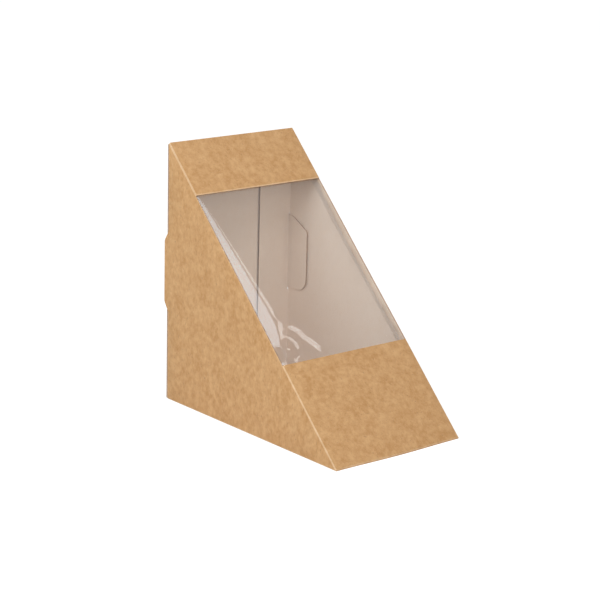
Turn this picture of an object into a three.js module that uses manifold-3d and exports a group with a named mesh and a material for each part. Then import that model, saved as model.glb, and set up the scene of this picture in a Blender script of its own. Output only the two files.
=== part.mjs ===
// Sandwich wedge pack: a folded board carton with a slanted film window, and a rear closure panel
// whose two ears lock into the back corners and whose top flap tucks in under the front's top bar.
// Millimetres, +Z up, the acute edge towards -Y, the origin on the underside in the middle of the base.

import * as THREE from "three";
import { mergeVertices } from "three/addons/utils/BufferGeometryUtils.js";
import Module from "manifold-3d";

const wasm = await Module();
wasm.setup();

// Size of the closed pack, to the outer faces of the folded board
const PACK_WIDTH = 73;
const PACK_DEPTH = 123;
const PACK_HEIGHT = 123;

// Sheets, and the room left between separate pieces
const BOARD = 0.45;
const FILM = 0.2;
const CLEARANCE = 0.3;
const LAP = 0.1; // how far a glued flap is let into the board that carries it
const CUT_THROUGH = 1; // how far a cut runs past the faces of the board

// Slanted front, measured along the slope: the window lies between the two bars
const TOP_BAR = 30;
const BOTTOM_BAR = 53.5;
const FRONT_FOLD_RADIUS = 0.55;

// Base and the glue flaps that turn in on it from the sides
const GLUE_FLAP_WIDTH = 17;
const GLUE_FLAP_FRONT_SETBACK = 9;
const GLUE_FLAP_REAR_SETBACK = 2;
const GLUE_FLAP_MITRE = 12;

// Inner back flaps: a wide one from the left side and a narrow one from the right, edge to edge
const NARROW_FLAP_WIDTH = 19.2;
const FLAP_SEAM = 1.2;
const FLAP_LIFT = 0.6;
const FLAP_TOP_DROP = 17;
const FLAP_CORNER_RADIUS = 3;

// Lips: where the back fold is cut round, the side stands on straight and leaves a slot in the flap
const LIP_HEIGHT = 61.9; // middle of the lip above the base
const LIP_ROOT = 39;
const LIP_TIP = 29.2;
const LIP_DEPTH = 3.1;
const LIP_CORNER_RADIUS = 1;

// Ears of the closure, folded forwards through the slots and lying along the side walls
const EAR_DEPTH = 15;
const EAR_SHOULDER = 3;
const EAR_TOP_DROP = 5.6;
const EAR_TOE_RISE = 1.2;
const EAR_TOE_RADIUS = 6;
const EAR_CORNER_RADIUS = 2;

// Tuck flap of the closure, folded down the slope under the top bar
const TUCK_LENGTH = 18;
const TUCK_SIDE_INSET = 1.5;
const TUCK_CORNER_RADIUS = 8;

// Window film: how far it laps the board, and its bend at the slanted folds
const FILM_LAP_TOP = 9;
const FILM_LAP_BOTTOM = 10;
const FILM_TURN = 7;
const FILM_FOLD_RADIUS = 1;
const FILM_BULGE_RADIUS = 5;

// Planes and lines that the panels share
const slope = Math.atan2(PACK_HEIGHT, PACK_DEPTH);
const rise = Math.sin(slope);
const run = Math.cos(slope);
const slopeLength = Math.hypot(PACK_HEIGHT, PACK_DEPTH);
const sideInner = PACK_WIDTH / 2 - BOARD;
const backOuter = PACK_DEPTH / 2;
const backInner = backOuter - BOARD;
const closureInner = backOuter + CLEARANCE;
const closureOuter = closureInner + BOARD;
const closureHalf = sideInner - CLEARANCE;
const hinge = { y: (closureInner + closureOuter) / 2, z: BOARD / 2 };

// Height of the plane that lies `below` the outer face of the slanted front, at a depth y
const slopeHeight = (y, below) => PACK_HEIGHT + ((y - backOuter) * rise - below) / run;
// Depth at which that plane is z high
const slopeDepth = (z, below) => backOuter + ((z - PACK_HEIGHT) * run + below) / rise;

const AXIS_X = new THREE.Vector3(1, 0, 0);
const AXIS_Y = new THREE.Vector3(0, 1, 0);
const AXIS_Z = new THREE.Vector3(0, 0, 1);
const UP_SLOPE = new THREE.Vector3(0, run, rise);
const FRONT_NORMAL = new THREE.Vector3(0, -rise, run);

// Closed outline through corners [across, up, radius], each rounded where it has a radius
function outline(corners) {
  const shape = new THREE.Shape();
  corners.forEach(([across, up, radius = 0], i) => {
    const corner = new THREE.Vector2(across, up);
    const before = new THREE.Vector2(...corners.at(i - 1)).sub(corner).normalize();
    const after = new THREE.Vector2(...corners[(i + 1) % corners.length]).sub(corner).normalize();
    const half = Math.acos(THREE.MathUtils.clamp(before.dot(after), -1, 1)) / 2;
    const cut = radius / Math.tan(half);
    const start = corner.clone().addScaledVector(before, cut);
    const end = corner.clone().addScaledVector(after, cut);
    if (i === 0) shape.moveTo(start.x, start.y);
    else shape.lineTo(start.x, start.y);
    if (radius > 0) shape.quadraticCurveTo(corner.x, corner.y, end.x, end.y);
  });
  shape.closePath();
  return shape;
}

// Rectangle between two opposite corners
function rectangle(left, low, right, high) {
  return outline([[left, low], [right, low], [right, high], [left, high]]);
}

// A geometry as a solid that can be joined to others
function solid(geometry) {
  const bare = geometry.clone();
  bare.deleteAttribute("normal");
  bare.deleteAttribute("uv");
  const merged = mergeVertices(bare, 1e-5);
  const vertProperties = merged.attributes.position.array;
  const triVerts = new Uint32Array(merged.index.array);
  return new wasm.Manifold(new wasm.Mesh({ numProp: 3, vertProperties, triVerts }));
}

// Solids of one sheet joined into a single named mesh
function sheet(name, solids, material) {
  const joined = solids.reduce((whole, piece) => whole.add(piece));
  const { vertProperties, triVerts } = joined.getMesh();
  const geometry = new THREE.BufferGeometry();
  geometry.setAttribute("position", new THREE.BufferAttribute(vertProperties, 3));
  geometry.setIndex(new THREE.BufferAttribute(triVerts, 1));
  geometry.computeVertexNormals();
  const mesh = new THREE.Mesh(geometry, material);
  mesh.name = name;
  return mesh;
}

// Straight solid: an outline drawn on the axes u and v from an origin, drawn out along u x v
function prism(shape, u, v, origin, depth, rounding = {}) {
  const geometry = new THREE.ExtrudeGeometry(shape, {
    depth,
    curveSegments: 6,
    bevelEnabled: false,
    ...rounding,
  });
  const frame = new THREE.Matrix4().makeBasis(u, v, u.clone().cross(v)).setPosition(origin);
  return solid(geometry.applyMatrix4(frame));
}

const atX = (x) => new THREE.Vector3(x, 0, 0);
const atY = (y) => new THREE.Vector3(0, y, 0);
const atZ = (z) => new THREE.Vector3(0, 0, z);
const quarter = Math.PI / 2;

// Wedge of the whole pack: the edges along its sides are rounded as folds of the board
function outerWedge() {
  const profile = outline([
    [-backOuter, 0],
    [backOuter, 0],
    [backOuter, PACK_HEIGHT],
  ]);
  const foldedEdges = {
    bevelEnabled: true,
    bevelThickness: BOARD,
    bevelSize: BOARD,
    bevelOffset: -BOARD,
    bevelSegments: 4,
  };
  return prism(profile, AXIS_Y, AXIS_Z, atX(-sideInner), 2 * sideInner, foldedEdges);
}

function innerWedge() {
  const profile = outline([
    [slopeDepth(BOARD, BOARD), BOARD],
    [backInner, BOARD],
    [backInner, slopeHeight(backInner, BOARD)],
  ]);
  return prism(profile, AXIS_Y, AXIS_Z, atX(-sideInner), 2 * sideInner);
}

// What the sharp front edge loses to its round fold
function frontEdgeCut() {
  const radius = FRONT_FOLD_RADIUS;
  const centre = slopeDepth(radius, radius);
  const before = -backOuter - CUT_THROUGH;
  const shape = new THREE.Shape();
  shape.moveTo(before, -CUT_THROUGH);
  shape.lineTo(centre, 0);
  shape.absarc(centre, radius, radius, -quarter, quarter + slope - 2 * Math.PI, true);
  shape.lineTo(before, radius + radius * run);
  shape.closePath();
  return prism(shape, AXIS_Y, AXIS_Z, atX(-PACK_WIDTH / 2 - CUT_THROUGH), PACK_WIDTH + 2 * CUT_THROUGH);
}

// Window: the whole width of the front, between the two bars
const windowTop = TOP_BAR;
const windowBottom = slopeLength - BOTTOM_BAR;

function windowCut() {
  const fromFront = new THREE.Vector3(0, backOuter, PACK_HEIGHT).addScaledVector(
    FRONT_NORMAL,
    -BOARD - CUT_THROUGH,
  );
  const shape = rectangle(-sideInner, -windowBottom, sideInner, -windowTop);
  return prism(shape, AXIS_X, UP_SLOPE, fromFront, BOARD + 2 * CUT_THROUGH);
}

// Inner back flaps: what lies under, over and between them is cut from the back
const flapBottom = 2 * BOARD + FLAP_LIFT;
const flapTop = PACK_HEIGHT - FLAP_TOP_DROP;

function backCuts() {
  const seamRight = sideInner - NARROW_FLAP_WIDTH;
  const seamLeft = seamRight - FLAP_SEAM;
  const above = flapTop + CUT_THROUGH;
  const between = outline([
    [-sideInner, BOARD],
    [sideInner, BOARD],
    [sideInner, flapBottom],
    [seamRight, flapBottom, FLAP_CORNER_RADIUS],
    [seamRight, flapTop, FLAP_CORNER_RADIUS],
    [sideInner, flapTop],
    [sideInner, above],
    [-sideInner, above],
    [-sideInner, flapTop],
    [seamLeft, flapTop, FLAP_CORNER_RADIUS],
    [seamLeft, flapBottom, FLAP_CORNER_RADIUS],
    [-sideInner, flapBottom],
  ]);
  const rear = backOuter + CUT_THROUGH;
  const underApex = outline([
    [backInner, flapTop],
    [rear, flapTop],
    [rear, slopeHeight(rear, BOARD)],
    [backInner, slopeHeight(backInner, BOARD)],
  ]);
  return [
    prism(between, AXIS_X, AXIS_Z, atY(rear), BOARD + CUT_THROUGH),
    prism(underApex, AXIS_Y, AXIS_Z, atX(-sideInner), 2 * sideInner),
  ];
}

// Slot at each back corner, cut from the flap and its fold, and the lip that it leaves on the side
const lipLow = LIP_HEIGHT - LIP_ROOT / 2;
const lipHigh = LIP_HEIGHT + LIP_ROOT / 2;
const lipTipLow = LIP_HEIGHT - LIP_TIP / 2;
const lipTipHigh = LIP_HEIGHT + LIP_TIP / 2;

function slot(side) {
  const outside = side * (PACK_WIDTH / 2 + CUT_THROUGH);
  const fold = side * sideInner;
  const edge = side * (sideInner - LIP_DEPTH);
  const shape = outline([
    [outside, lipLow],
    [fold, lipLow],
    [edge, lipTipLow, LIP_CORNER_RADIUS],
    [edge, lipTipHigh, LIP_CORNER_RADIUS],
    [fold, lipHigh],
    [outside, lipHigh],
  ]);
  return prism(shape, AXIS_X, AXIS_Z, atY(backOuter + CUT_THROUGH), BOARD + CUT_THROUGH);
}

function lip(side) {
  const inWall = backInner - BOARD;
  const edge = backInner + LIP_DEPTH;
  const shape = outline([
    [inWall, lipLow],
    [backInner, lipLow],
    [edge, lipTipLow, LIP_CORNER_RADIUS],
    [edge, lipTipHigh, LIP_CORNER_RADIUS],
    [backInner, lipHigh],
    [inWall, lipHigh],
  ]);
  return prism(shape, AXIS_Y, AXIS_Z, atX(side > 0 ? sideInner : -PACK_WIDTH / 2), BOARD);
}

// Glue flap turned in on the base from the side's lower edge, with mitred ends
function glueFlap(side) {
  const fold = side * (sideInner + LAP);
  const edge = side * (sideInner - GLUE_FLAP_WIDTH);
  const front = slopeDepth(2 * BOARD, BOARD) + GLUE_FLAP_FRONT_SETBACK;
  const rear = backInner - GLUE_FLAP_REAR_SETBACK;
  const shape = outline([
    [fold, front],
    [edge, front + GLUE_FLAP_MITRE],
    [edge, rear - GLUE_FLAP_MITRE],
    [fold, rear],
  ]);
  return prism(shape, AXIS_X, AXIS_Y, atZ(BOARD - LAP), BOARD + LAP);
}

function carton() {
  const cuts = [frontEdgeCut(), innerWedge(), windowCut(), ...backCuts(), slot(-1), slot(1)];
  const shell = cuts.reduce((rest, cut) => rest.subtract(cut), outerWedge());
  const board = new THREE.MeshStandardMaterial({ color: 0xcba176, roughness: 0.85, metalness: 0 });
  return sheet("carton", [shell, lip(-1), lip(1), glueFlap(-1), glueFlap(1)], board);
}

// Ears: they keep the clearance to the slot's slanted ends where they pass through it
const slotTaper = (LIP_ROOT - LIP_TIP) / 2 / LIP_DEPTH;
const slotLoss = slotTaper * (CLEARANCE + BOARD);
const earLow = lipLow + slotLoss + CLEARANCE;
const earHigh = lipHigh - slotLoss - CLEARANCE;
const earFold = closureHalf - BOARD;

// Board bent from the closure's plane to the side wall's, seen from above, then cut to the ear's outline
function ear(side) {
  const tip = backOuter - EAR_DEPTH;
  const shoulder = backOuter - EAR_SHOULDER;
  const onPanel = side * (earFold - BOARD);
  const inner = side * earFold;
  const outer = side * closureHalf;
  const section = new THREE.Shape();
  section.moveTo(onPanel, closureOuter);
  section.lineTo(inner, closureOuter);
  section.absarc(inner, closureInner, BOARD, quarter, side > 0 ? 0 : Math.PI, side > 0);
  section.lineTo(outer, tip);
  section.lineTo(inner, tip);
  section.lineTo(inner, closureInner);
  section.lineTo(onPanel, closureInner);
  section.closePath();
  const band = prism(section, AXIS_X, AXIS_Y, atZ(earLow), earHigh - earLow);
  const beyond = closureOuter + CUT_THROUGH;
  const shape = outline([
    [beyond, earLow],
    [beyond, earHigh],
    [shoulder, earHigh, EAR_CORNER_RADIUS],
    [tip, earHigh - EAR_TOP_DROP, EAR_CORNER_RADIUS],
    [tip, earLow + EAR_TOE_RISE, EAR_TOE_RADIUS],
  ]);
  return band.intersect(prism(shape, AXIS_Y, AXIS_Z, atX(-PACK_WIDTH / 2), PACK_WIDTH));
}

// Closure seen from the side: a round bottom edge on the hinge line, the rear panel, the fold over the
// top and the tuck flap down the slope
function closureStrip() {
  const tuckBelow = 2 * BOARD + CLEARANCE;
  const foldZ = slopeHeight(closureInner, tuckBelow);
  const end = new THREE.Vector2(closureInner, foldZ).add(
    new THREE.Vector2(-run, -rise).multiplyScalar(TUCK_LENGTH),
  );
  const profile = new THREE.Shape();
  profile.moveTo(closureInner, foldZ);
  profile.lineTo(closureInner, hinge.z);
  profile.absarc(hinge.y, hinge.z, BOARD / 2, Math.PI, 2 * Math.PI, false);
  profile.lineTo(closureOuter, foldZ);
  profile.absarc(closureInner, foldZ, BOARD, 0, quarter + slope, false);
  profile.lineTo(end.x - rise * BOARD, end.y + run * BOARD);
  profile.lineTo(end.x, end.y);
  profile.closePath();
  const strip = prism(profile, AXIS_Y, AXIS_Z, atX(-closureHalf), 2 * closureHalf);

  // The tuck flap is narrower than the panel, with round corners
  const half = closureHalf - TUCK_SIDE_INSET;
  const outside = closureHalf + CUT_THROUGH;
  const past = -TUCK_LENGTH - CUT_THROUGH;
  const trim = outline([
    [-outside, -BOARD],
    [-half, -BOARD],
    [-half, -TUCK_LENGTH, TUCK_CORNER_RADIUS],
    [half, -TUCK_LENGTH, TUCK_CORNER_RADIUS],
    [half, -BOARD],
    [outside, -BOARD],
    [outside, past],
    [-outside, past],
  ]);
  const foldLine = new THREE.Vector3(0, closureInner, foldZ);
  const under = foldLine.addScaledVector(FRONT_NORMAL, -CUT_THROUGH);
  return strip.subtract(prism(trim, AXIS_X, UP_SLOPE, under, BOARD + 2 * CUT_THROUGH));
}

// What the closure's edge loses where an ear is folded from it
function earNotch(side) {
  const outside = side * (closureHalf + CUT_THROUGH);
  const shape = rectangle(side * earFold, earLow, outside, earHigh);
  const depth = BOARD + 2 * CUT_THROUGH;
  return prism(shape, AXIS_X, AXIS_Z, atY(closureOuter + CUT_THROUGH), depth);
}

function backClosure() {
  const panel = closureStrip().subtract(earNotch(-1)).subtract(earNotch(1));
  const board = new THREE.MeshStandardMaterial({ color: 0xc69c70, roughness: 0.85, metalness: 0 });
  return sheet("back_closure", [panel, ear(-1), ear(1)], board);
}

// Film: a flat sheet bent round both slanted folds. It is glued tight to the bars, and between them
// its bend swells to a larger radius.
const FLAT_COLUMNS = 3;
const BEND_COLUMNS = 6;
const TURN_COLUMNS = 1;
const FILM_ROWS = 30;

function windowFilm() {
  const half = sideInner - CLEARANCE - FILM / 2;
  const top = windowTop - FILM_LAP_TOP;
  const bottom = windowBottom + FILM_LAP_BOTTOM;
  const columns = FLAT_COLUMNS + BEND_COLUMNS + TURN_COLUMNS;
  const flatHalf = half - FILM_FOLD_RADIUS + quarter * FILM_FOLD_RADIUS + FILM_TURN;
  const geometry = new THREE.BoxGeometry(2 * columns, 1, FILM, 2 * columns, FILM_ROWS, 1);
  const position = geometry.attributes.position;
  const point = new THREE.Vector3();
  for (let i = 0; i < position.count; i++) {
    const column = Math.abs(position.getX(i));
    const outward = position.getZ(i);
    const fromApex = THREE.MathUtils.lerp(top, bottom, 0.5 - position.getY(i));
    const intoWindow = (fromApex - windowTop) / (windowBottom - windowTop);
    const swell = Math.sin(Math.PI * THREE.MathUtils.clamp(intoWindow, 0, 1)) ** 2;
    const radius = THREE.MathUtils.lerp(FILM_FOLD_RADIUS, FILM_BULGE_RADIUS, swell);
    const flat = half - radius;
    const bend = THREE.MathUtils.clamp((column - FLAT_COLUMNS) / BEND_COLUMNS, 0, 1) * quarter;
    const turned = Math.max(0, (column - FLAT_COLUMNS - BEND_COLUMNS) / TURN_COLUMNS);
    const reach = Math.min(1, column / FLAT_COLUMNS) * flat;
    const across = reach + (radius + outward) * Math.sin(bend);
    const turnLength = flatHalf - flat - quarter * radius;
    const below = radius - (radius + outward) * Math.cos(bend) + turned * turnLength;
    const depth = BOARD + CLEARANCE + FILM / 2 + below;
    point
      .set(Math.sign(position.getX(i)) * across, backOuter, PACK_HEIGHT)
      .addScaledVector(UP_SLOPE, -fromApex)
      .addScaledVector(FRONT_NORMAL, -depth);
    position.setXYZ(i, point.x, point.y, point.z);
  }
  const film = new THREE.MeshStandardMaterial({
    color: 0xf2f3f4,
    roughness: 0.08,
    metalness: 0,
    transparent: true,
    opacity: 0.18,
  });
  return sheet("window_film", [solid(geometry)], film);
}

const pack = new THREE.Group();
pack.add(carton(), backClosure(), windowFilm());

export default pack;
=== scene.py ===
from math import cos, hypot, radians, sin

import bmesh
import bpy
from mathutils import Matrix, Vector


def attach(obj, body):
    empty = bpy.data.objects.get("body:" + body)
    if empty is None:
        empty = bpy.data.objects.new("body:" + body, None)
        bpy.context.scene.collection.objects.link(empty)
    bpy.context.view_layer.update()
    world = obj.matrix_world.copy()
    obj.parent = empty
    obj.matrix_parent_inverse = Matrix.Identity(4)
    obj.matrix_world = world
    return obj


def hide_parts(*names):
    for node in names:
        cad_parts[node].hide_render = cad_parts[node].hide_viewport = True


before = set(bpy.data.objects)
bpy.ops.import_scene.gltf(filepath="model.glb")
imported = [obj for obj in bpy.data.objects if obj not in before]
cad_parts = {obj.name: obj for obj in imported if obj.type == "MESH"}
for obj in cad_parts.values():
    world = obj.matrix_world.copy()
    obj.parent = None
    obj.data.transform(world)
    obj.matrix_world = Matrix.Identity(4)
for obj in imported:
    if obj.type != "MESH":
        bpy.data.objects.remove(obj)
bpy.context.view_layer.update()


# The photographer's table
# A pale table that shows as white, an even white room and a camera at the photograph's angle. Four soft
# boxes hang round it: left, over the left shoulder, in front, and above right for the film's creases.

turn, lift, tilt = radians(-40.074), radians(15.239), radians(1.466)
camera_back, camera_right, camera_up = 0.90024, -0.004486, 0.054449
backward = Vector((sin(turn) * cos(lift), -cos(turn) * cos(lift), sin(lift)))
rightward = Vector((cos(turn), sin(turn), 0))
upward = backward.cross(rightward)
right_tilted = cos(tilt) * rightward + sin(tilt) * upward
up_tilted = cos(tilt) * upward - sin(tilt) * rightward
stand = camera_back * backward + camera_right * right_tilted + camera_up * up_tilted
facing = Matrix((right_tilted, up_tilted, backward)).transposed().to_4x4()

camera = bpy.data.objects.new("photo_camera", bpy.data.cameras.new("photo_camera"))
camera.data.lens = 117.22
camera.data.sensor_width = 36
camera.data.clip_start = 0.05
camera.data.clip_end = 20
camera.matrix_world = Matrix.Translation(stand) @ facing
bpy.context.scene.collection.objects.link(camera)
bpy.context.scene.camera = camera
bpy.context.scene.view_settings.view_transform = "Standard"

pack_middle = Vector((0, 0, 0.06))
bluish, cool, warm, neutral = (0.85, 0.92, 1.0), (0.87, 0.95, 1.0), (1.0, 0.90, 0.78), (1.0, 1.0, 1.0)
for name, place, size, watts, colour in (
    ("softbox_left", (-0.49, -0.09, 0.43), 0.50, 2.15, cool),
    ("softbox_shoulder", (-0.21, -0.25, 0.61), 0.27, 0.85, bluish),
    ("softbox_front", (-0.25, -0.72, 0.38), 0.40, 0.75, warm),
    ("softbox_above", (0.36, -0.355, 0.745), 0.22, 0.45, neutral),
):
    lamp = bpy.data.lights.new(name, "AREA")
    lamp.size = size
    lamp.energy = watts
    lamp.color = colour
    softbox = bpy.data.objects.new(name, lamp)
    softbox.rotation_euler = (Vector(place) - pack_middle).to_track_quat("Z", "Y").to_euler()
    softbox.location = place
    bpy.context.scene.collection.objects.link(softbox)


def white_where_seen(tree):
    """1 for a ray that shows the background, from the camera, off gloss or through film, and 0 for light."""
    path = tree.nodes.new("ShaderNodeLightPath")
    seen = path.outputs["Is Camera Ray"]
    for ray in ("Is Glossy Ray", "Is Transmission Ray"):
        either = tree.nodes.new("ShaderNodeMath")
        either.operation = "ADD"
        either.use_clamp = True
        tree.links.new(seen, either.inputs[0])
        tree.links.new(path.outputs[ray], either.inputs[1])
        seen = either.outputs[0]
    return seen


room_light, room_white = 0.40, 1.0
room = bpy.data.worlds.new("white_room")
room.use_nodes = True
air = room.node_tree
brightness = air.nodes.new("ShaderNodeMapRange")
brightness.inputs["To Min"].default_value = room_light
brightness.inputs["To Max"].default_value = room_white
air.links.new(white_where_seen(air), brightness.inputs["Value"])
air.links.new(brightness.outputs["Result"], air.nodes["Background"].inputs["Strength"])
air.nodes["Background"].inputs["Color"].default_value = (1, 1, 1, 1)
bpy.context.scene.world = room

table_size = 12
table_glow, table_glow_share = 1.2, 0.8
bpy.ops.object.select_all(action="DESELECT")
bpy.ops.mesh.primitive_plane_add(size=table_size, location=(0, 0, 0))
table = bpy.context.object
table.name = "table"
table_white = bpy.data.materials.new("table_white")
table_white.use_nodes = True
tree = table_white.node_tree
shader = tree.nodes["Principled BSDF"]
shader.inputs["Base Color"].default_value = (0.85, 0.85, 0.85, 1)
shader.inputs["Roughness"].default_value = 0.9
shader.inputs["Specular IOR Level"].default_value = 0.1
share = tree.nodes.new("ShaderNodeMath")
share.operation = "MULTIPLY"
share.inputs[1].default_value = table_glow_share
glow = tree.nodes.new("ShaderNodeEmission")
glow.inputs["Strength"].default_value = table_glow
blend = tree.nodes.new("ShaderNodeMixShader")
tree.links.new(white_where_seen(tree), share.inputs[0])
tree.links.new(share.outputs[0], blend.inputs["Fac"])
tree.links.new(shader.outputs[0], blend.inputs[1])
tree.links.new(glow.outputs[0], blend.inputs[2])
tree.links.new(blend.outputs[0], tree.nodes["Material Output"].inputs["Surface"])
table.data.materials.append(table_white)


# The folded carton
# One die-cut sheet of kraft board with a pale lining: the base, the slanted front with its window, the
# two sides, and two inner back flaps that meet at a seam. It is folded, and glued by a flap at each
# side of the base.

pack_width, pack_depth, pack_height = 0.073, 0.123, 0.123
half_width, half_depth = pack_width / 2, pack_depth / 2
board = 0.00045
fold, fold_segments = 0.0005, 3
nose_y, nose_round = -0.06085, 0.0002
top_bar, bottom_bar = 0.030, 0.0535
window_end = hypot(pack_depth, pack_height) - bottom_bar
cut_line = 0.0006
flap_low, flap_high = 0.0015, 0.106
flap_corner = 0.0025
seam_left, seam_right = 0.01565, 0.01685
slot_edge = 0.03295
slot_low, slot_high = 0.0424, 0.0814
slot_taper = 4.9 / 3.1
lip_reach, lip_corner = 0.06415, 0.0008
lip_root_length, lip_tip_length = 0.039, 0.0292
glue_flap_x, glue_flap_y = 0.02755, 0.004
glue_flap_width, glue_flap_length, glue_flap_mitre = 0.017, 0.110, 0.78
glue_flap_z = board + 0.00003
near = 1e-5
square_on = 0.999

apex = Vector((0, half_depth, pack_height))
up_slope = Vector((0, pack_depth, pack_height)).normalized()
off_front = Vector((0, -pack_height, pack_depth)).normalized()

# The order of the finishes on each piece of board, after the one of its outer face
lining_finish, edge_and_shade_finish, fold_and_highlight_finish = 1, 2, 3


def slope_place(point):
    """How far down the slope from the apex a point is, and how far under the front."""
    return (apex - point).dot(up_slope), (apex - point).dot(off_front)


def pick(kind, wanted):
    """Selects the verts, edges or faces of the edited sheet whose middle passes a test."""
    bpy.ops.mesh.select_mode(type={"verts": "VERT", "edges": "EDGE", "faces": "FACE"}[kind])
    bpy.ops.mesh.select_all(action="DESELECT")
    sheet = bmesh.from_edit_mesh(bpy.context.edit_object.data)
    for part in getattr(sheet, kind):
        corners = [part] if kind == "verts" else part.verts
        middle = sum((v.co for v in corners), Vector()) / len(corners)
        if wanted(middle, part):
            part.select_set(True)
    bmesh.update_edit_mesh(bpy.context.edit_object.data)


def move_picked(across=0.0, back=0.0, up=0.0):
    """Moves what is picked."""
    bpy.ops.transform.translate(value=(across, back, up))


def spring(push, reach, connected=False):
    """Bows a panel: what is picked moves by a push, which fades out over a reach."""
    bpy.ops.transform.translate(
        value=push, use_proportional_edit=True, use_proportional_connected=connected,
        proportional_edit_falloff="SMOOTH", proportional_size=reach)


def score(place, normal):
    """Draws a straight line across the picked panels, where a plane meets them."""
    bpy.ops.mesh.bisect(plane_co=place, plane_no=normal, threshold=1e-6)


def every_8_mm(first, last):
    """Places 8 mm apart, from the first one, given in millimetres."""
    return [0.001 * place for place in range(first, last, 8)]


def start_sheet(name, add, **how):
    """A new object at the origin with one primitive in it, left in edit mode."""
    bpy.ops.object.select_all(action="DESELECT")
    add(**how)
    sheet = bpy.context.object
    sheet.name = sheet.data.name = name
    bpy.ops.object.mode_set(mode="EDIT")
    bpy.ops.mesh.select_all(action="SELECT")
    return sheet


def paint_picked(finish):
    """Gives the picked faces one of the object's finishes."""
    sheet = bmesh.from_edit_mesh(bpy.context.edit_object.data)
    for face in sheet.faces:
        if face.select:
            face.material_index = finish
    bmesh.update_edit_mesh(bpy.context.edit_object.data)


def on_fold(p, f):
    """Faces that lie in no panel's plane."""
    return max(*(abs(c) for c in f.normal), abs(f.normal.dot(off_front))) < 0.996


def give_thickness(sheet, thickness, inner, rim):
    """Thickens an outer skin inwards, and gives its inside and its cut edge their finishes."""
    bpy.context.view_layer.objects.active = sheet
    solidify = sheet.modifiers.new("thickness", "SOLIDIFY")
    solidify.thickness = thickness
    solidify.offset = -1
    solidify.use_quality_normals = True
    solidify.material_offset = inner
    solidify.material_offset_rim = rim
    bpy.ops.object.modifier_apply(modifier=solidify.name)


carton = start_sheet("folded_carton", bpy.ops.mesh.primitive_cube_add, size=1, location=(0, 0, 0))
bpy.ops.transform.resize(value=(pack_width, pack_depth, pack_height))
move_picked(up=pack_height / 2)

# The block becomes a wedge, its edges become round folds, and its nose is folded flat
pick("verts", lambda p, v: p.y < 0 and p.z > pack_height / 2)
move_picked(up=-pack_height)
bpy.ops.mesh.select_all(action="SELECT")
bpy.ops.mesh.remove_doubles(threshold=near)
pick("edges", lambda p, e: all(abs(v.co.x) > half_width - near for v in e.verts))
bpy.ops.mesh.bevel(offset=fold, segments=fold_segments, affect="EDGES")
bpy.ops.mesh.select_all(action="SELECT")
bpy.ops.mesh.bisect(
    plane_co=(0, nose_y, 0), plane_no=(0, -1, 0), use_fill=True, clear_outer=True, threshold=1e-6)
pick("edges", lambda p, e: abs(p.y - nose_y) < 1e-6 and abs(p.x) < 1e-4)
bpy.ops.mesh.bevel(offset=nose_round, segments=fold_segments, affect="EDGES")
bpy.ops.mesh.select_all(action="SELECT")
bpy.ops.mesh.remove_doubles(threshold=near)
bpy.ops.mesh.normals_make_consistent(inside=False)


def at_back(p, f):
    """The back and its corner folds."""
    return p.y > half_depth - fold - near


def not_flap(p, f):
    """What the die cuts away from the back: the slots, the seam, and all above and below the flaps."""
    if not at_back(p, f):
        return False
    taper = max(0, half_width - board - abs(p.x)) * slot_taper
    in_slot = abs(p.x) > slot_edge and slot_low + taper < p.z < slot_high - taper
    in_seam = seam_left < p.x < seam_right
    past_end = p.z > flap_high or (p.z < flap_low and f.normal.y > square_on)
    return in_slot or in_seam or past_end


# The back flaps: their ends, their seam, and the slots at both corners
for z in (flap_low, flap_high):
    pick("faces", at_back)
    score((0, 0, z), (0, 0, 1))
for x in (seam_left, seam_right, -slot_edge, slot_edge):
    pick("faces", lambda p, f: f.normal.y > square_on)
    score((x, 0, 0), (1, 0, 0))
for z, way in ((slot_low, 1), (slot_high, -1)):
    pick("faces", lambda p, f: at_back(p, f) and f.normal.y < square_on)
    score((0, 0, z), (0, 0, 1))
    for side in (-1, 1):
        pick("faces", lambda p, f: f.normal.y > square_on and side * p.x > slot_edge)
        score((side * (half_width - board), 0, z), (side * slot_taper * way, 0, 1))
pick("faces", not_flap)
bpy.ops.mesh.delete(type="FACE")

# The sides' tips over the flaps reach the back, and the flaps' corners at the seam are round
tip_depth, tip_set_back = 0.0011, 0.0004
pick("verts", lambda p, v: p.z > flap_high + 0.001 and abs(p.x) > half_width - 1e-4
     and p.y > half_depth - tip_depth)
move_picked(back=tip_set_back)
pick("verts", lambda p, v: p.y > half_depth - near
     and min(abs(p.x - seam_left), abs(p.x - seam_right)) < near)
bpy.ops.mesh.bevel(offset=flap_corner, segments=4, affect="VERTICES")

# The lips: the sides run straight on where the slots are cut round them
pick("edges", lambda p, e: abs(p.x) > half_width - near and p.y > half_depth - fold - near
     and slot_low < p.z < slot_high and e.is_boundary)
bpy.ops.mesh.extrude_edges_move(TRANSFORM_OT_translate={"value": (0, lip_reach - half_depth + fold, 0)})
bpy.ops.transform.resize(
    value=(1, 1, lip_tip_length / lip_root_length), center_override=(0, 0, (slot_low + slot_high) / 2))
pick("verts", lambda p, v: p.y > lip_reach - near)
bpy.ops.mesh.bevel(offset=lip_corner, segments=fold_segments, affect="VERTICES")


def in_window(p, f):
    """The window is as wide as the front, short of the folds' round."""
    down, under = slope_place(p)
    return top_bar < down < window_end and under < 0.0003


for down in (top_bar - cut_line, top_bar, window_end):
    pick("faces", lambda p, f: slope_place(p)[1] < fold)
    score(apex - down * up_slope, up_slope)
pick("faces", in_window)
bpy.ops.mesh.delete(type="FACE")

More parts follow.
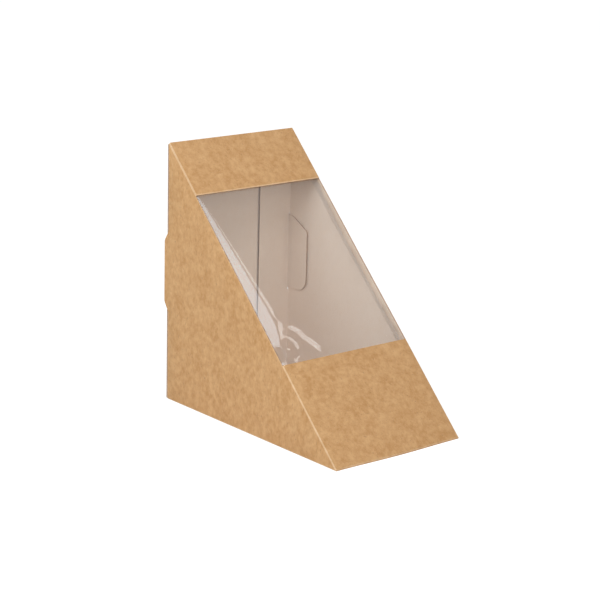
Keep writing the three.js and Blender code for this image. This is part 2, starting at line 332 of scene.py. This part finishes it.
# Fine lines every few millimetres, so that the panels can spring out of flat
for down in every_8_mm(6, 174):
    pick("faces", lambda p, f: slope_place(p)[1] < fold or abs(p.x) > half_width - 1e-4)
    score(apex - down * up_slope, up_slope)
for across in every_8_mm(-32, 33):
    pick("faces", lambda p, f: abs(p.x) < half_width - fold + 1e-4)
    score((across, 0, 0), (1, 0, 0))
for deep in every_8_mm(-52, 60):
    pick("faces", lambda p, f: abs(p.x) > half_width - 1e-4 or f.normal.z < -square_on)
    score((0, deep, 0), (0, 1, 0))
for high in every_8_mm(6, 120):
    pick("faces", lambda p, f: f.normal.y > 0.5)
    score((0, 0, high), (0, 0, 1))

# Panels that spring: the sides go hollow, the front's lower bar swells, and the flaps lean in at the seam
side_hollow, hollow_reach = 0.0006, 0.040
bar_swell, swell_reach = 0.0008, 0.034
flap_lean = 0.0004
for side in (-1, 1):
    side_middle = Vector((side * half_width, 0.030, 0.046))
    pick("verts", lambda p, v: side * p.x > half_width - 1e-4 and (p - side_middle).length < 0.006)
    spring((-side * side_hollow, 0, 0), hollow_reach)
pick("verts", lambda p, v: p.y < nose_y + 0.0003 and abs(p.x) < 0.003)
spring((0, -bar_swell, 0), swell_reach)
for seam_edge, reach in ((seam_left, 0.034), (seam_right, 0.018)):
    pick("verts", lambda p, v: p.y > half_depth - near and abs(p.x - seam_edge) < near)
    spring((0, -flap_lean, 0), reach, connected=True)

# The base is cut along its sides, a hair narrower, and the side walls stand round it
base_fit = 0.9965
pick("edges", lambda p, e: abs(abs(p.x) - half_width + fold) < near and p.z < near)
bpy.ops.mesh.edge_split(type="EDGE")
pick("faces", lambda p, f: f.normal.z < -square_on)
bpy.ops.transform.resize(value=(base_fit, 1, 1), center_override=(0, 0, 0))

# The paper is paler round the folds, partly where it is stretched and partly as a painted highlight where
# the round catches light. A painted highlight strip along the window's upper cut stands for its lit cut edge
pick("faces", on_fold)
paint_picked(fold_and_highlight_finish)
pick("faces", lambda p, f: top_bar - cut_line < slope_place(p)[0] < top_bar and slope_place(p)[1] < fold)
paint_picked(fold_and_highlight_finish)

# Glue flaps, turned in on the base, narrower at their free edges
for side in (-1, 1):
    bpy.ops.mesh.primitive_plane_add(size=1, location=(side * glue_flap_x, glue_flap_y, glue_flap_z))
    bpy.ops.transform.resize(value=(glue_flap_width, glue_flap_length, 1))
    bpy.ops.mesh.flip_normals()
    pick("verts", lambda p, v: 0.018 < side * p.x < 0.0195 and abs(p.z - glue_flap_z) < 1e-6)
    bpy.ops.transform.resize(value=(1, glue_flap_mitre, 1))
bpy.ops.object.mode_set(mode="OBJECT")

# Kraft paper: cloudy where the pulp has settled unevenly, with fibres and a few dark specks
kraft_paper = bpy.data.node_groups.new("kraft_paper", "ShaderNodeTree")
for name, kind, value in (
    ("Place", "NodeSocketVector", None),
    ("Pale", "NodeSocketColor", (0.64, 0.385, 0.185, 1)),
    ("Dark", "NodeSocketColor", (0.50, 0.275, 0.110, 1)),
    ("Cloudiness", "NodeSocketFloat", 1.0),
    ("Specks", "NodeSocketFloat", 0.35),
):
    socket = kraft_paper.interface.new_socket(name, in_out="INPUT", socket_type=kind)
    if value is not None:
        socket.default_value = value
for name, kind in (
    ("Color", "NodeSocketColor"),
    ("Roughness", "NodeSocketFloat"),
    ("Height", "NodeSocketFloat"),
):
    kraft_paper.interface.new_socket(name, in_out="OUTPUT", socket_type=kind)


def pulp_noise(place, upright, scale, detail, roughness=0.5):
    """Noise on the object's own coordinates. Below 1, upright draws it out along the paper's grain."""
    mapping = kraft_paper.nodes.new("ShaderNodeMapping")
    mapping.inputs["Scale"].default_value = (1, 1, upright)
    noise = kraft_paper.nodes.new("ShaderNodeTexNoise")
    noise.inputs["Scale"].default_value = scale
    noise.inputs["Detail"].default_value = detail
    noise.inputs["Roughness"].default_value = roughness
    kraft_paper.links.new(place, mapping.inputs["Vector"])
    kraft_paper.links.new(mapping.outputs[0], noise.inputs["Vector"])
    return noise.outputs["Fac"]


def reckon(operation, *values, clamp=False):
    """A Math node on sockets and plain numbers."""
    node = kraft_paper.nodes.new("ShaderNodeMath")
    node.operation = operation
    node.use_clamp = clamp
    for i, value in enumerate(values):
        if isinstance(value, (int, float)):
            node.inputs[i].default_value = value
        else:
            kraft_paper.links.new(value, node.inputs[i])
    return node.outputs[0]


def spread(value, low, high, to_low=0.0, to_high=1.0):
    """A Map Range node: low to high becomes to_low to to_high."""
    node = kraft_paper.nodes.new("ShaderNodeMapRange")
    for name, number in (("From Min", low), ("From Max", high), ("To Min", to_low), ("To Max", to_high)):
        node.inputs[name].default_value = number
    kraft_paper.links.new(value, node.inputs["Value"])
    return node.outputs["Result"]


def tint(share, paper, colour):
    """Blends a share of a colour into the paper's colour."""
    node = kraft_paper.nodes.new("ShaderNodeMix")
    node.data_type = "RGBA"
    for socket, value in ((node.inputs["Factor"], share), (node.inputs[6], paper), (node.inputs[7], colour)):
        if isinstance(value, tuple):
            socket.default_value = value
        else:
            kraft_paper.links.new(value, socket)
    return node.outputs[2]


dark_fleck, pale_fibre = (0.26, 0.13, 0.055, 1), (0.80, 0.58, 0.34, 1)
cloud_share, drift_share, grain_share = 0.55, 0.25, 0.20
given = kraft_paper.nodes.new("NodeGroupInput")
result = kraft_paper.nodes.new("NodeGroupOutput")
place = given.outputs["Place"]
clouds = pulp_noise(place, upright=0.9, scale=380, detail=4.0, roughness=0.6)
drifts = pulp_noise(place, upright=0.9, scale=130, detail=1.0)
grain = pulp_noise(place, upright=0.6, scale=900, detail=2.0, roughness=0.6)
fibres = pulp_noise(place, upright=0.25, scale=2600, detail=1.0)
specks = pulp_noise(place, upright=0.35, scale=1500, detail=1.0)
pulp = reckon("MULTIPLY", spread(grain, 0.3, 0.7), grain_share)
pulp = reckon("MULTIPLY_ADD", spread(drifts, 0.35, 0.65), drift_share, pulp)
pulp = reckon("MULTIPLY_ADD", spread(clouds, 0.36, 0.64), cloud_share, pulp)
pulp = reckon("MULTIPLY_ADD", reckon("SUBTRACT", pulp, 0.5), given.outputs["Cloudiness"], 0.5, clamp=True)
paper = tint(pulp, given.outputs["Dark"], given.outputs["Pale"])
fleck = reckon("MULTIPLY", spread(specks, 0.66, 0.74), given.outputs["Specks"], clamp=True)
paper = tint(fleck, paper, dark_fleck)
paper = tint(reckon("MULTIPLY", spread(fibres, 0.62, 0.76), 0.3, clamp=True), paper, pale_fibre)
tooth = reckon("ADD", grain, reckon("MULTIPLY", fibres, 0.5))
kraft_paper.links.new(paper, result.inputs["Color"])
kraft_paper.links.new(spread(grain, 0.3, 0.7, 0.72, 0.56), result.inputs["Roughness"])
kraft_paper.links.new(tooth, result.inputs["Height"])


def board_finish(name, pale, dark, cloudiness, specks, bump):
    """A board material from the paper group, with its own colours and tooth."""
    material = bpy.data.materials.new(name)
    material.use_nodes = True
    tree = material.node_tree
    shader = tree.nodes["Principled BSDF"]
    paper = tree.nodes.new("ShaderNodeGroup")
    paper.node_tree = kraft_paper
    paper.inputs["Pale"].default_value = (*pale, 1)
    paper.inputs["Dark"].default_value = (*dark, 1)
    paper.inputs["Cloudiness"].default_value = cloudiness
    paper.inputs["Specks"].default_value = specks
    tree.links.new(tree.nodes.new("ShaderNodeTexCoord").outputs["Object"], paper.inputs["Place"])
    tree.links.new(paper.outputs["Color"], shader.inputs["Base Color"])
    tree.links.new(paper.outputs["Roughness"], shader.inputs["Roughness"])
    tooth = tree.nodes.new("ShaderNodeBump")
    tooth.inputs["Strength"].default_value = bump
    tooth.inputs["Distance"].default_value = 0.00005
    tree.links.new(paper.outputs["Height"], tooth.inputs["Height"])
    tree.links.new(tooth.outputs[0], shader.inputs["Normal"])
    shader.inputs["Specular IOR Level"].default_value = 0.4
    return material


kraft_face = board_finish("kraft_face", (0.66, 0.385, 0.177), (0.495, 0.250, 0.088), 1.0, 0.35, 0.5)
board_lining = board_finish("board_lining", (0.86, 0.725, 0.61), (0.82, 0.675, 0.555), 0.6, 0.03, 0.15)
# Cut edges: the board's own brown core, darkened further as painted shade for the narrow gaps round the ears
# and at the flaps' seam
board_edge_and_shade = board_finish("board_edge_and_shade", (0.40, 0.22, 0.12), (0.30, 0.155, 0.08), 1.2, 0.2, 0.9)
# Fold faces: paler stretched paper, with a painted highlight where the round of a fold catches light
kraft_fold_and_highlight = board_finish("kraft_fold_and_highlight", (0.76, 0.51, 0.30), (0.64, 0.40, 0.21), 1.2, 0.2, 0.7)

# In the order of the finishes. The last two are the inside and the cut edge of a fold
board_stack = (kraft_face, board_lining, board_edge_and_shade, kraft_fold_and_highlight, board_lining, board_edge_and_shade)
crisp = radians(38)
for material in board_stack:
    carton.data.materials.append(material)
give_thickness(carton, board, lining_finish, edge_and_shade_finish)
bpy.ops.object.shade_smooth_by_angle(angle=crisp)
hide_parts("carton")
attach(carton, "pack")


# The rear closure
# The same board, hinged on the base's rear fold: a rear panel, a tuck flap that goes under the top bar, and
# an ear at each side, which turns forward through its slot, lies along the side wall and locks the pack.

closure_y = 0.06225
closure_low, tuck_fold = 0.0003, 0.121603 + board
lip_clear_half, panel_half, tuck_half = 0.03575, 0.03625, 0.03425
lip_clearance = 0.001
tuck_length, tuck_corner = 0.018, 0.007
ear_low, ear_high = 0.043885, 0.079915
ear_middle = (ear_low + ear_high) / 2
ear_shoulder, ear_tip = 0.0585, 0.0465
ear_top_drop, ear_toe_rise, ear_turn_in = 0.0056, 0.0012, 0.0011
ear_toe_round, ear_top_round = 0.0055, 0.0012

closure = start_sheet("back_closure_panel", bpy.ops.mesh.primitive_plane_add,
                      size=1, location=(0, 0, 0), rotation=(radians(90), 0, 0))
bpy.ops.object.mode_set(mode="OBJECT")
bpy.ops.object.transform_apply(location=True, rotation=True, scale=True)
bpy.ops.object.mode_set(mode="EDIT")
bpy.ops.mesh.select_all(action="SELECT")
bpy.ops.transform.resize(value=(2 * lip_clear_half, 1, tuck_fold - closure_low))
move_picked(back=closure_y, up=(tuck_fold + closure_low) / 2)


def flat_panel(p, f):
    """The rear panel, as long as the closure has no thickness."""
    return abs(f.normal.y) > 0.99


def on_ear_tip(p):
    """The free edge of an ear, before it is rounded."""
    return p.y < ear_tip + near and abs(p.x) > lip_clear_half - near


# The tuck flap goes on from the top edge, down the slope
pick("edges", lambda p, e: p.z > tuck_fold - near)
bpy.ops.mesh.extrude_edges_move(TRANSFORM_OT_translate={"value": tuple(-tuck_length * up_slope)})
bpy.ops.transform.resize(value=(tuck_half / lip_clear_half, 1, 1), center_override=(0, 0, 0))

# Clear of the lips, the panel is as wide as the pack
for z in (slot_low - lip_clearance, slot_high + lip_clearance):
    pick("faces", flat_panel)
    score((0, 0, z), (0, 0, 1))
pick("verts", lambda p, v: p.y > closure_y - near and not slot_low < p.z < slot_high)
bpy.ops.transform.resize(value=(panel_half / lip_clear_half, 1, 1), center_override=(0, 0, 0))

# The ears are cut free above and below, turned forward, and lean in towards their tips
for z in (ear_low, ear_high):
    pick("faces", flat_panel)
    score((0, 0, z), (0, 0, 1))
pick("edges", lambda p, e: abs(p.x) > lip_clear_half - 2e-4 and abs(p.z - ear_middle) < 1e-3
     and e.is_boundary)
for stretch in (ear_shoulder - closure_y, ear_tip - ear_shoulder):
    bpy.ops.mesh.extrude_edges_move(TRANSFORM_OT_translate={"value": (0, stretch, 0)})
for corner, rise in ((ear_high, -ear_top_drop), (ear_low, ear_toe_rise)):
    pick("verts", lambda p, v: on_ear_tip(p) and abs(p.z - corner) < near)
    move_picked(up=rise)
for side in (-1, 1):
    pick("verts", lambda p, v: on_ear_tip(p) and side * p.x > 0)
    move_picked(across=-side * ear_turn_in)

# Corners: the ears' toes are rounder than their tops, and the tuck flap's are the roundest
on_ear = lip_clear_half - 0.0012
pick("verts", lambda p, v: p.y < ear_tip + near and abs(p.x) > on_ear and p.z < 0.05)
bpy.ops.mesh.bevel(offset=ear_toe_round, segments=8, affect="VERTICES")
pick("verts", lambda p, v: p.y < ear_shoulder + near and abs(p.x) > on_ear and p.z > 0.07)
bpy.ops.mesh.bevel(offset=ear_top_round, segments=4, affect="VERTICES")
pick("verts", lambda p, v: slope_place(p)[0] > tuck_length - fold and slope_place(p)[1] < 0.002
     and p.y < 0.055)
bpy.ops.mesh.bevel(offset=tuck_corner, segments=8, affect="VERTICES")

# Folds, and fine lines as on the carton
pick("edges", lambda p, e: len(e.link_faces) == 2 and e.calc_face_angle(0) > 0.3)
bpy.ops.mesh.bevel(offset=fold, segments=fold_segments, affect="EDGES")
# The fold faces are paler, partly stretched paper and partly painted highlight
pick("faces", on_fold)
paint_picked(fold_and_highlight_finish)
bpy.ops.mesh.select_all(action="SELECT")
bpy.ops.mesh.normals_make_consistent(inside=False)
if any(f.normal.y < -square_on for f in bmesh.from_edit_mesh(closure.data).faces):
    bpy.ops.mesh.flip_normals()
for high in every_8_mm(6, 120):
    pick("faces", lambda p, f: f.normal.y > 0.5)
    score((0, 0, high), (0, 0, 1))
for across in every_8_mm(-32, 33):
    pick("faces", lambda p, f: abs(p.x) < lip_clear_half - fold + 1e-4)
    score((across, 0, 0), (1, 0, 0))
bpy.ops.object.mode_set(mode="OBJECT")
for material in board_stack:
    closure.data.materials.append(material)
give_thickness(closure, board, lining_finish, edge_and_shade_finish)
bpy.ops.object.shade_smooth_by_angle(angle=crisp)
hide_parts("back_closure")
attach(closure, "closure")


# The window film
# One sheet of thin clear film, glued under both bars and bent down along the sides. Between the bars
# nothing holds it, so its bends swell, more on the left, and it buckles a little near the lower left
# corner.

film_half, film_thickness = 0.03565, 0.00005
film_under = board + 0.0003
right_leg = 0.0045
left_swell_depth = 0.6
bend_segments = 6
left_profile, right_profile = 0.25, 0.18
ribs = (
    # down the slope, left bend, right bend, left leg
    (0.0210, 0.0008, 0.0008, 0.0070),
    (0.0290, 0.0008, 0.0008, 0.0070),
    (0.0315, 0.0011, 0.0009, 0.0070),
    (0.0360, 0.0018, 0.0012, 0.0075),
    (0.0420, 0.0027, 0.0016, 0.0080),
    (0.0520, 0.0038, 0.0020, 0.0090),
    (0.0620, 0.0049, 0.0023, 0.0100),
    (0.0740, 0.0059, 0.0024, 0.0110),
    (0.0850, 0.0069, 0.0024, 0.0120),
    (0.0920, 0.0078, 0.0024, 0.0130),
    (0.1000, 0.0075, 0.0023, 0.0120),
    (0.1070, 0.0061, 0.0021, 0.0105),
    (0.1130, 0.0043, 0.0018, 0.0090),
    (0.1175, 0.0022, 0.0014, 0.0075),
    (0.1215, 0.0010, 0.0010, 0.0070),
    (0.1305, 0.0008, 0.0008, 0.0070),
)


def on_rib(p, down):
    """Whether a point of the film, which is made lying flat, is on the rib at a place."""
    return abs(p.y + down) < near


film = start_sheet("window_film_sheet", bpy.ops.mesh.primitive_plane_add, size=1, location=(0, 0, 0))
bpy.ops.mesh.delete(type="VERT")
for down, left_bend, right_bend, left_leg in ribs:
    bpy.ops.mesh.primitive_plane_add(size=1, location=(0, -down, 0), rotation=(radians(90), 0, 0))
    bpy.ops.transform.resize(value=(2 * film_half, 1, left_leg), center_override=(0, -down, 0))
    move_picked(up=-left_leg / 2)
    bpy.ops.mesh.delete(type="ONLY_FACE")
    pick("edges", lambda p, e: on_rib(p, down) and p.z < -left_leg + near)
    bpy.ops.mesh.delete(type="EDGE")
    pick("verts", lambda p, v: on_rib(p, down) and p.x > 0 and p.z < -left_leg + near)
    move_picked(up=left_leg - right_leg)
    for side, bend, profile in ((-1, left_bend, left_profile), (1, right_bend, right_profile)):
        pick("verts", lambda p, v: on_rib(p, down) and side * p.x > film_half - near and p.z > -near)
        bpy.ops.mesh.bevel(offset=bend, segments=bend_segments, affect="VERTICES", profile=profile)
    pick("verts", lambda p, v: on_rib(p, down) and p.x < 0)
    bpy.ops.transform.resize(value=(1, 1, left_swell_depth), center_override=(0, -down, 0))
    pick("edges", lambda p, e: on_rib(p, down) and e.calc_length() > 0.03)
    bpy.ops.mesh.subdivide(number_cuts=11)
for (down, *_), (next_down, *_) in zip(ribs, ribs[1:]):
    pick("edges", lambda p, e: on_rib(p, down) or on_rib(p, next_down))
    bpy.ops.mesh.bridge_edge_loops()
bpy.ops.mesh.select_all(action="SELECT")
bpy.ops.mesh.normals_make_consistent(inside=False)
if sum(f.normal.z for f in bmesh.from_edit_mesh(film.data).faces) < 0:
    bpy.ops.mesh.flip_normals()


def smooth_film(levels):
    """Rounds the film between its ribs."""
    bpy.ops.object.mode_set(mode="OBJECT")
    rounding = film.modifiers.new("rounding", "SUBSURF")
    rounding.levels = rounding.render_levels = levels
    bpy.context.view_layer.objects.active = film
    bpy.ops.object.modifier_apply(modifier=rounding.name)
    bpy.ops.object.mode_set(mode="EDIT")


def buckle(across, down, height, reach):
    """Pushes the film up or down round one point."""
    spot = Vector((across, -down, 0))
    nearest = min((v.co - spot).length for v in bmesh.from_edit_mesh(film.data).verts)
    pick("verts", lambda p, v: (p - spot).length < nearest + 1e-6)
    spring((0, 0, height), reach)


# A hollow by the lower left corner with a bump below it, the slack wave that runs out of it, and three
# small puckers by the lower right corner. Each is a place across and down the film, a height and a reach
smooth_film(2)
buckle(-0.0285, 0.1130, -0.0012, 0.0060)
buckle(-0.0245, 0.1175, 0.0006, 0.0035)
wave_height, wave_reach = 0.00013, 0.0036
wave = [Vector(spot) for spot in (
    (-0.0272, 0.0990), (-0.0240, 0.1000), (-0.0212, 0.1012), (-0.0186, 0.1030), (-0.0168, 0.1052),
    (-0.0151, 0.1080), (-0.0136, 0.1105), (-0.0117, 0.1130), (-0.0098, 0.1150), (-0.0078, 0.1168))]
for start, end in zip(wave, wave[1:]):
    buckle(*start, wave_height, wave_reach)
    buckle(*start.lerp(end, 0.5), wave_height, wave_reach)
pucker_reach = 0.0022
for across, down, height in ((0.0245, 0.1110, 0.0003), (0.0285, 0.1165, 0.0003), (0.0320, 0.1172, 0.00025)):
    buckle(across, down, height, pucker_reach)
smooth_film(1)

# The film is laid under the front
bpy.ops.mesh.select_all(action="SELECT")
move_picked(up=-film_under)
bpy.ops.transform.rotate(value=radians(-45), orient_axis="X", center_override=(0, 0, 0))
bpy.ops.transform.translate(value=apex)
bpy.ops.object.mode_set(mode="OBJECT")

# Clear film: see-through, but for what its gloss throws back. Its index is turned over on the way out
film_index = 1.45
window_film_clear = bpy.data.materials.new("window_film_clear")
window_film_clear.use_nodes = True
tree = window_film_clear.node_tree
shader = tree.nodes["Principled BSDF"]
shader.inputs["Base Color"].default_value = (0.97, 0.975, 0.98, 1)
shader.inputs["Metallic"].default_value = 1.0
shader.inputs["Roughness"].default_value = 0.06
side_seen = tree.nodes.new("ShaderNodeNewGeometry")
bending = tree.nodes.new("ShaderNodeMapRange")
bending.inputs["To Min"].default_value = film_index
bending.inputs["To Max"].default_value = 1 / film_index
mirror = tree.nodes.new("ShaderNodeFresnel")
tree.links.new(side_seen.outputs["Backfacing"], bending.inputs["Value"])
tree.links.new(bending.outputs["Result"], mirror.inputs["IOR"])
tree.links.new(mirror.outputs[0], shader.inputs["Alpha"])
film.data.materials.append(window_film_clear)
give_thickness(film, film_thickness, 0, 0)
bpy.ops.object.shade_smooth()
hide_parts("window_film")
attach(film, "pack")
